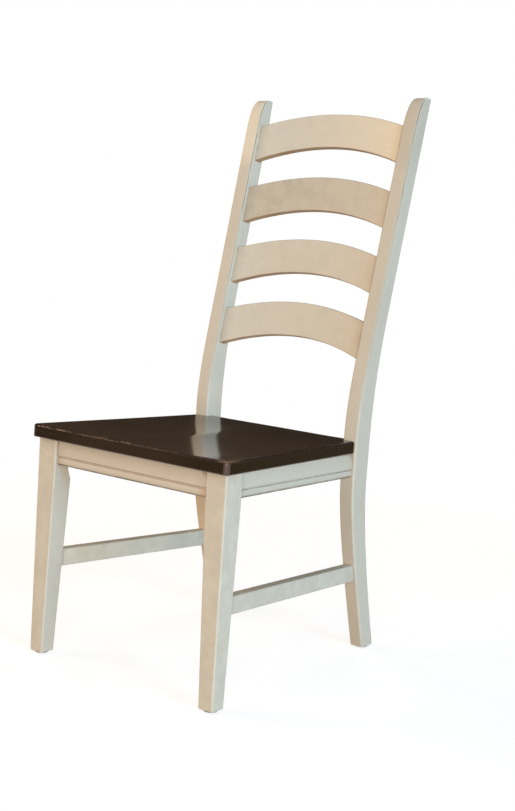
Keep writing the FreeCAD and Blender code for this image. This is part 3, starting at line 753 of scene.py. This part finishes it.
def makeBeadRail(name, start, end, outward, slot, node):
    # start and end are on the outer face at the lower edge.
    whole = [end[i] - start[i] for i in range(3)]
    length = math.dist(start, end)
    stations = [0.0, 1.2 / length, 4.0 / length]
    stations += [i / 24 for i in range(1, 24)]
    stations += [1 - 4.0 / length, 1 - 1.2 / length, 1.0]
    rings, lays, gaps, tones = [], [], [], []
    for share in stations:
        base = [start[i] + whole[i] * share for i in range(3)]
        ring, lay, gap, tone = [], [], [], []
        for out, up in beadSection(rail["height"] + 2):
            back = rail["thickness"] - out
            x = base[0] - outward[0] * back
            y = base[1] - outward[1] * back
            # The side rails' ends are cut square to the chair, against the leg and the post.
            if outward[0] != 0 and share in (0.0, 1.0):
                y = base[1]
            limit = underSeat(y)
            z = min(base[2] + up, limit)
            ring.append((x, y, z))
            lay.append((length * share / 1000, (up - railMiddle) / 1000,
                        (out - rail["thickness"] / 2) / 1000))
            ends = min(share, 1 - share) * length
            joint = min(limit - z + 0.3, ends + 0.3)
            gap.append((max(0.0, up) / 1000 + 0.006, 0.02, joint / 1000))
            tone.append(railTone(name, share, length, out, up))
        rings.append(ring)
        lays.append(lay)
        gaps.append(gap)
        tones.append(tone)
    tube(name, rings, lays, gaps, slot, node, tones=tones, sharp=50.0)


railMiddle = 24
railBottom = underSeat(rail["frontY"]) - rail["height"]
railBottomBack = railBottom - (post["front"] - leg["square"]) * tanPitch
innerLeg = leg["outer"] - leg["square"]
makeBeadRail("apron_front", (-innerLeg, rail["frontY"], railBottom), (innerLeg, rail["frontY"], railBottom),
             (0.0, -1.0), "cream_paint", "front_rail")
toe = math.atan2(rail["sideX"] - rail["backX"], post["front"] - leg["square"])
for side in (1, -1):
    makeBeadRail("apron_side_" + mirrorName(side), (side * rail["sideX"], leg["square"], railBottom),
                 (side * rail["backX"], post["front"], railBottomBack),
                 (side * math.cos(toe), math.sin(toe)), "cream_paint", "side_rail_" + mirrorName(side))


def makeBackRail():
    rings, lays, gaps = [], [], []
    half = halfInner
    middle = (post["front"] + seat["back"]) / 2
    for i in range(25):
        share = -1 + 2 * i / 24
        x = half * share
        # Drawn past the seat's underside, then cut by it.
        loop = rounded(post["front"], seat["back"], railBottomBack, railBottomBack + 60, 1.5, 3)
        ring, lay, gap = [], [], []
        for y, z in loop:
            lean = (z - seat["height"]) * math.tan(post["splay"]) * share
            level = min(z, underSeat(y))
            ring.append((x + lean, y, level))
            lay.append((x / 1000, (z - railBottomBack - railMiddle) / 1000, (y - middle) / 1000))
            gap.append((max(0.0, z - railBottomBack) / 1000, (10 - abs(y - middle)) / 1000,
                        min(half - abs(x) + 0.3, underSeat(y) - level + 0.3) / 1000))
        rings.append(ring)
        lays.append(lay)
        gaps.append(gap)
    tube("apron_back", rings, lays, gaps, "cream_paint", "back_rail")


makeBackRail()
print("apron made")


# Side stretchers

def makeStretcher(side):
    frontX = leg["outer"] - stretcher["inset"]
    leaned = (seat["height"] - stretcher["top"]) * math.tan(post["splay"])
    backX = post["outer"] - leaned - stretcher["backInset"]
    frontY = legSquare(stretcher["top"])
    backY = frontAt(stretcher["top"])
    turn = math.atan2(frontX - backX, backY - frontY)
    length = (backY - frontY) / math.cos(turn)
    loop = rounded(-stretcher["thickness"], 0.0, -stretcher["height"], 0.0, stretcher["round"], 5)
    tall = stretcher["height"] / 2
    thick = stretcher["thickness"] / 2
    rings, lays, gaps, tones = [], [], [], []
    count = 30
    for i in range(count + 1):
        share = i / count
        ring, lay, gap, tone = [], [], [], []
        for a, up in loop:
            s = length * share
            y = frontY + s * math.cos(turn) + a * math.sin(turn)
            z = stretcher["top"] + up * math.cos(stretcher["fall"]) - s * math.sin(stretcher["fall"])
            if i == 0:
                y = legSquare(z)
            if i == count:
                y = frontAt(z)
            x = frontX - (y - frontY) * math.tan(turn) + a / math.cos(turn)
            ring.append((side * x, y, z))
            lay.append((s / 1000, (a + thick) / 1000, (up + tall) / 1000))
            gap.append(((thick - abs(a + thick)) / 1000, (tall - abs(up + tall)) / 1000,
                        (min(share, 1 - share) * length + 0.3) / 1000))
            upper = clamp((up + stretcher["round"]) / stretcher["round"], 0, 1)
            under = clamp((stretcher["round"] - stretcher["height"] - up) / stretcher["round"], 0, 1)
            # Painted light on the left stretcher's front half, painted shade on the top faces from the seat
            # above, less of it at the back end, and painted shade on the undersides.
            light = 0.4 * clamp(1 - share * 2, 0, 1) if side < 0 else 0.0
            light -= (0.38 - 0.3 * clamp(share * 4 - 3, 0, 1)) * upper + 0.5 * under
            tone.append((light, 0.0, 0.0))
        rings.append(ring)
        lays.append(lay)
        gaps.append(gap)
        tones.append(tone)
    name = mirrorName(side)
    tube("stretcher_bar_" + name, rings, lays, gaps, "cream_paint", "stretcher_" + name, tones=tones)


for side in (1, -1):
    makeStretcher(side)
print("stretchers made")


# Seat

def seatHalf(y):
    share = (y - seat["front"]) / (post["front"] - seat["front"])
    return (seat["frontWidth"] + (seat["backWidth"] - seat["frontWidth"]) * share) / 2


def scoopSurface(x, y):
    # Height of the scoops' floor; above the seat where there is no scoop.
    deep = scoop["depth"] - (y - scoop["deepest"]) ** 2 / (2 * scoop["along"])
    deep -= (abs(x) - scoop["middle"]) ** 2 / (2 * scoop["across"])
    return seat["height"] - deep


def seatOutline():
    radius = seat["corner"]
    right = []
    lean = math.atan2((seat["frontWidth"] - seat["backWidth"]) / 2, post["front"] - seat["front"])
    cy = seat["front"] + radius
    edge = seatHalf(cy)
    cx = edge - radius / math.cos(lean)
    for i in range(9):
        angle = math.radians(-90) + (math.pi / 2 + lean) * i / 8
        right.append((cx + radius * math.cos(angle), cy + radius * math.sin(angle)))
    corner = seat["backCorner"]
    side = seatHalf(post["front"])
    for i in range(6):
        angle = math.radians(90 * i / 5)
        right.append((side - corner + corner * math.cos(angle),
                      post["front"] - corner + corner * math.sin(angle)))
    right.append((seat["notch"], post["front"]))
    right.append((seat["notch"], seat["back"]))
    left = [(-x, y) for x, y in reversed(right)]
    return right + left


def cutAcross(bm, geometry, point, normal):
    result = bmesh.ops.bisect_plane(bm, geom=geometry, dist=1e-5, plane_co=point, plane_no=normal)
    return result["geom"]


def edgeWear(x, y):
    # How dull the rounding of the top edge is: dullest at the left corner, bright at the right one.
    if x > 225 and y < 12:
        return 0.0
    return 3.0 if x < -228 and y < 20 else 1.0


def seatTone(x, y, upright):
    # How far the point is on an upright edge face, and the painted shade there: darker towards the ends of
    # the front face, and a darker brown on the side faces.
    sideLean = 0.087
    start = seatHalf(seat["front"] + seat["corner"]) - seat["corner"] / math.cos(sideLean)
    turned = abs(x) > start + 0.5 and y < seat["front"] + seat["corner"] * 0.8
    if not upright or turned:
        return (0.0, 0.0, 0.0)
    if y > seat["front"] + 2:
        return (1.0, 0.0, 1.0)
    return (1.0, clamp((abs(x) - 100) / 90, 0, 1), 0.0)


def makeSeat():
    outline = seatOutline()
    low = seat["height"] - seat["thickness"]
    bm = bmesh.new()
    bottom = [bm.verts.new((x, y, low)) for x, y in outline]
    top = [bm.verts.new((x, y, seat["height"])) for x, y in outline]
    count = len(outline)
    bm.faces.new(top)
    bm.faces.new(list(reversed(bottom)))
    for i in range(count):
        j = (i + 1) % count
        bm.faces.new((bottom[i], bottom[j], top[j], top[i]))
    bmesh.ops.recalc_face_normals(bm, faces=bm.faces)

    def outerEdges(level):
        found = []
        for e in bm.edges:
            a, b = e.verts
            if abs(a.co.z - level) > 0.01 or abs(b.co.z - level) > 0.01:
                continue
            notched = abs(a.co.y - b.co.y) < 0.01 and abs(a.co.y - post["front"]) < 0.01
            cheek = abs(a.co.x - b.co.x) < 0.01 and abs(abs(a.co.x) - seat["notch"]) < 0.01
            if not notched and not cheek:
                found.append(e)
        return found

    bmesh.ops.bevel(bm, geom=outerEdges(seat["height"]), offset=seat["topRound"], segments=6, profile=0.5,
                    affect="EDGES", material=-1)
    bmesh.ops.bevel(bm, geom=outerEdges(low), offset=seat["bottomRound"], segments=3, profile=0.5,
                    affect="EDGES", material=-1)
    # A fine grid for the scoops: cuts across everything, then lengthwise on the top face alone.
    step, shift = 5.0, 0.01
    for i in range(-49, 50):
        cutAcross(bm, bm.verts[:] + bm.edges[:] + bm.faces[:], (i * step + shift, 0, 0), (1, 0, 0))
    upper = [f for f in bm.faces if f.calc_center_median().z > seat["height"] - 0.01]
    chosen = set(upper)
    for f in upper:
        chosen.update(f.edges)
        chosen.update(f.verts)
    chosen = list(chosen)
    for i in range(87):
        chosen = cutAcross(bm, chosen, (0, i * step + shift, 0), (0, 1, 0))
    lays, gaps, tones = [], [], []
    for v in bm.verts:
        x, y, z = v.co
        level = z
        upright = low + 2.4 < z < seat["height"] - 4.9
        eased = seat["height"] - 4.9 < z < seat["height"] - 0.01
        floor = scoopSurface(x, y)
        if z > low + 10:
            # The lower of the flat top and the scoops' floor, with a soft change between them.
            gap = z - floor
            z -= (gap + math.sqrt(gap * gap + scoop["soft"] ** 2)) / 2 - 0.001
        dy = y - seat["front"]
        dz = z - seat["height"]
        turned = seat["front"] + dy * math.cos(seat["pitch"]) + dz * math.sin(seat["pitch"])
        raised = seat["height"] - dy * math.sin(seat["pitch"]) + dz * math.cos(seat["pitch"])
        v.co = place(x, turned, raised)
        lays.append((x / 1000, y / 1000, z / 1000))
        # Where the painted highlight runs along the front top edge's rounding.
        crest = 1.0 if seat["height"] - 2.2 < level < seat["height"] - 1.0 and x > -222 and y < 0 else 0.0
        gaps.append((edgeWear(x, y) if eased else 0.0, crest, 0.0))
        tones.append(seatTone(x, y, upright))
    piece = newObject("seat_board", bm, stain, sharp=50.0)
    setLay(piece.data, lays, gaps, tones)
    finishPiece(piece, "seat_stain", "seat")


makeSeat()
print("seat made")


# Pieces kept from the CAD model

def dress(names, material):
    for name in names:
        piece = nodes[name]
        if not piece.material_slots:
            piece.data.materials.append(material)
        for held in piece.material_slots:
            held.material = material


dress([n for n in nodes if "corner_block_" in n and "screws" not in n], bareWood)
dress(["front_rail_dowels", "side_rail_dowels"], bareWood)
dress(["hanger_bolts", "hanger_bolt_nuts", "hanger_bolt_washers",
       "corner_block_screws", "seat_screws"], zinc)
dress([n for n in nodes if n.startswith("glide_")], plastic)
print("hardware dressed")


# Floor, studio walls, lamps and camera

def stageMaterial(name):
    material = bpy.data.materials.new(name)
    material.use_nodes = True
    tree = material.node_tree
    tree.nodes.clear()
    return material, tree, tree.nodes.new("ShaderNodeOutputMaterial")


def seenRays(tree):
    # 1 for the camera's rays and for those that gloss or glass sends on, 0 for light.
    path = tree.nodes.new("ShaderNodeLightPath")
    seen = Reading(tree, path.outputs["Is Camera Ray"]).most(Reading(tree, path.outputs["Is Glossy Ray"]))
    return seen.most(Reading(tree, path.outputs["Is Transmission Ray"]))


def makeFloor():
    # White to the camera and in gloss, with the shadow kept, and a brown floor to every other ray.
    material, tree, output = stageMaterial("floor_pale")
    seen = seenRays(tree)
    spot = tree.nodes.new("ShaderNodeTexCoord")
    reach = tree.nodes.new("ShaderNodeVectorMath")
    reach.operation = "LENGTH"
    tree.links.new(spot.outputs["Object"], reach.inputs[0])
    far = Reading(tree, reach.outputs["Value"]).ramp(0.9, 2.2)
    pale = tree.nodes.new("ShaderNodeBsdfDiffuse")
    tone = tree.nodes.new("ShaderNodeCombineColor")
    near = seen * (1.0 - far)
    for i, level in enumerate((0.36, 0.28, 0.21)):
        feed(tree, tone.inputs[i], (1.0 - seen) * level + near * 0.42)
    tree.links.new(tone.outputs[0], pale.inputs["Color"])
    glow = tree.nodes.new("ShaderNodeEmission")
    feed(tree, glow.inputs["Strength"], seen * (0.75 + 0.25 * far))
    both = tree.nodes.new("ShaderNodeAddShader")
    tree.links.new(pale.outputs[0], both.inputs[0])
    tree.links.new(glow.outputs[0], both.inputs[1])
    tree.links.new(both.outputs[0], output.inputs["Surface"])
    bm = bmesh.new()
    bmesh.ops.create_circle(bm, cap_ends=True, segments=64, radius=60.0)
    mesh = bpy.data.meshes.new("floor")
    bm.to_mesh(mesh)
    bm.free()
    mesh.materials.append(material)
    floor = bpy.data.objects.new("floor", mesh)
    scene.collection.objects.link(floor)


def makeWalls():
    # The dark sides of the studio, which only gloss shows.
    material, tree, output = stageMaterial("studio_dark")
    glow = tree.nodes.new("ShaderNodeEmission")
    glow.inputs["Color"].default_value = (0.041, 0.032, 0.022, 1.0)
    tree.links.new(glow.outputs[0], output.inputs["Surface"])
    bm = bmesh.new()
    bmesh.ops.create_cone(bm, cap_ends=False, segments=64, radius1=9.0, radius2=9.0, depth=10.0,
                          matrix=Matrix.Translation((0, 0, 5.0)))
    mesh = bpy.data.meshes.new("studio_walls")
    bm.to_mesh(mesh)
    bm.free()
    mesh.materials.append(material)
    walls = bpy.data.objects.new("studio_walls", mesh)
    walls.visible_camera = False
    walls.visible_diffuse = False
    walls.visible_shadow = False
    walls.visible_transmission = False
    scene.collection.objects.link(walls)


def makeWorld(strength):
    world = bpy.data.worlds.new("studio")
    world.use_nodes = True
    scene.world = world
    tree = world.node_tree
    tree.nodes.clear()
    output = tree.nodes.new("ShaderNodeOutputWorld")
    seen = seenRays(tree)
    soft = tree.nodes.new("ShaderNodeBackground")
    soft.inputs["Color"].default_value = (1.0, 0.8, 0.67, 1.0)
    soft.inputs["Strength"].default_value = strength
    white = tree.nodes.new("ShaderNodeBackground")
    white.inputs["Color"].default_value = (1.0, 1.0, 1.0, 1.0)
    mix = tree.nodes.new("ShaderNodeMixShader")
    feed(tree, mix.inputs[0], seen)
    tree.links.new(soft.outputs[0], mix.inputs[1])
    tree.links.new(white.outputs[0], mix.inputs[2])
    tree.links.new(mix.outputs[0], output.inputs["Surface"])


def addLamp(name, where, power, tint, glossy=True):
    data = bpy.data.lights.new(name, "AREA")
    data.shape = "RECTANGLE"
    data.size, data.size_y = lampSize
    data.energy = power
    data.color = tint
    lamp = bpy.data.objects.new(name, data)
    lamp.location = where
    aim = lampTarget - Vector(where)
    lamp.rotation_euler = aim.to_track_quat("-Z", "Y").to_euler()
    lamp.visible_glossy = glossy
    scene.collection.objects.link(lamp)


lampTarget = Vector((0, 0, 0.6))
lampSize = (3.2, 2.4)
makeFloor()
makeWalls()
makeWorld(0.15)
addLamp("lamp_key", (4.2, -5.4, 1.2), 363, (1.0, 0.933, 0.856))
addLamp("lamp_right", (7.2, -1.5, 2.8), 365, (0.264, 0.662, 1.0), glossy=False)
addLamp("lamp_left_front", (-5.6, -3.4, 2.8), 201, (1.0, 0.727, 0.478))
addLamp("lamp_left", (-7.0, 1.5, 1.8), 218, (1.0, 0.903, 0.642), glossy=False)
addLamp("lamp_back", (-2.0, 6.5, 2.2), 90, (1.0, 0.944, 0.889), glossy=False)
addLamp("lamp_right_back", (6.2, 4.4, 0.9), 100, (1.0, 1.0, 1.0), glossy=False)


def makeCamera():
    yaw, pitch, roll = (math.radians(a) for a in (37.028, -7.171, 3.830))
    forward = Vector((-math.sin(yaw) * math.cos(pitch), math.cos(yaw) * math.cos(pitch), math.sin(pitch)))
    right0 = Vector((math.cos(yaw), math.sin(yaw), 0))
    up0 = right0.cross(forward)
    right = right0 * math.cos(roll) + up0 * math.sin(roll)
    up = up0 * math.cos(roll) - right0 * math.sin(roll)
    data = bpy.data.cameras.new("camera")
    data.sensor_fit = "VERTICAL"
    data.sensor_height = 24.0
    data.lens = 37.786
    camera = bpy.data.objects.new("camera", data)
    turn = Matrix((right, up, -forward)).transposed().to_4x4()
    camera.matrix_world = Matrix.Translation(place(1586.62, -1716.24, 834.04)) @ turn
    scene.collection.objects.link(camera)
    scene.camera = camera


makeCamera()
scene.view_settings.view_transform = "Standard"
print("studio made")
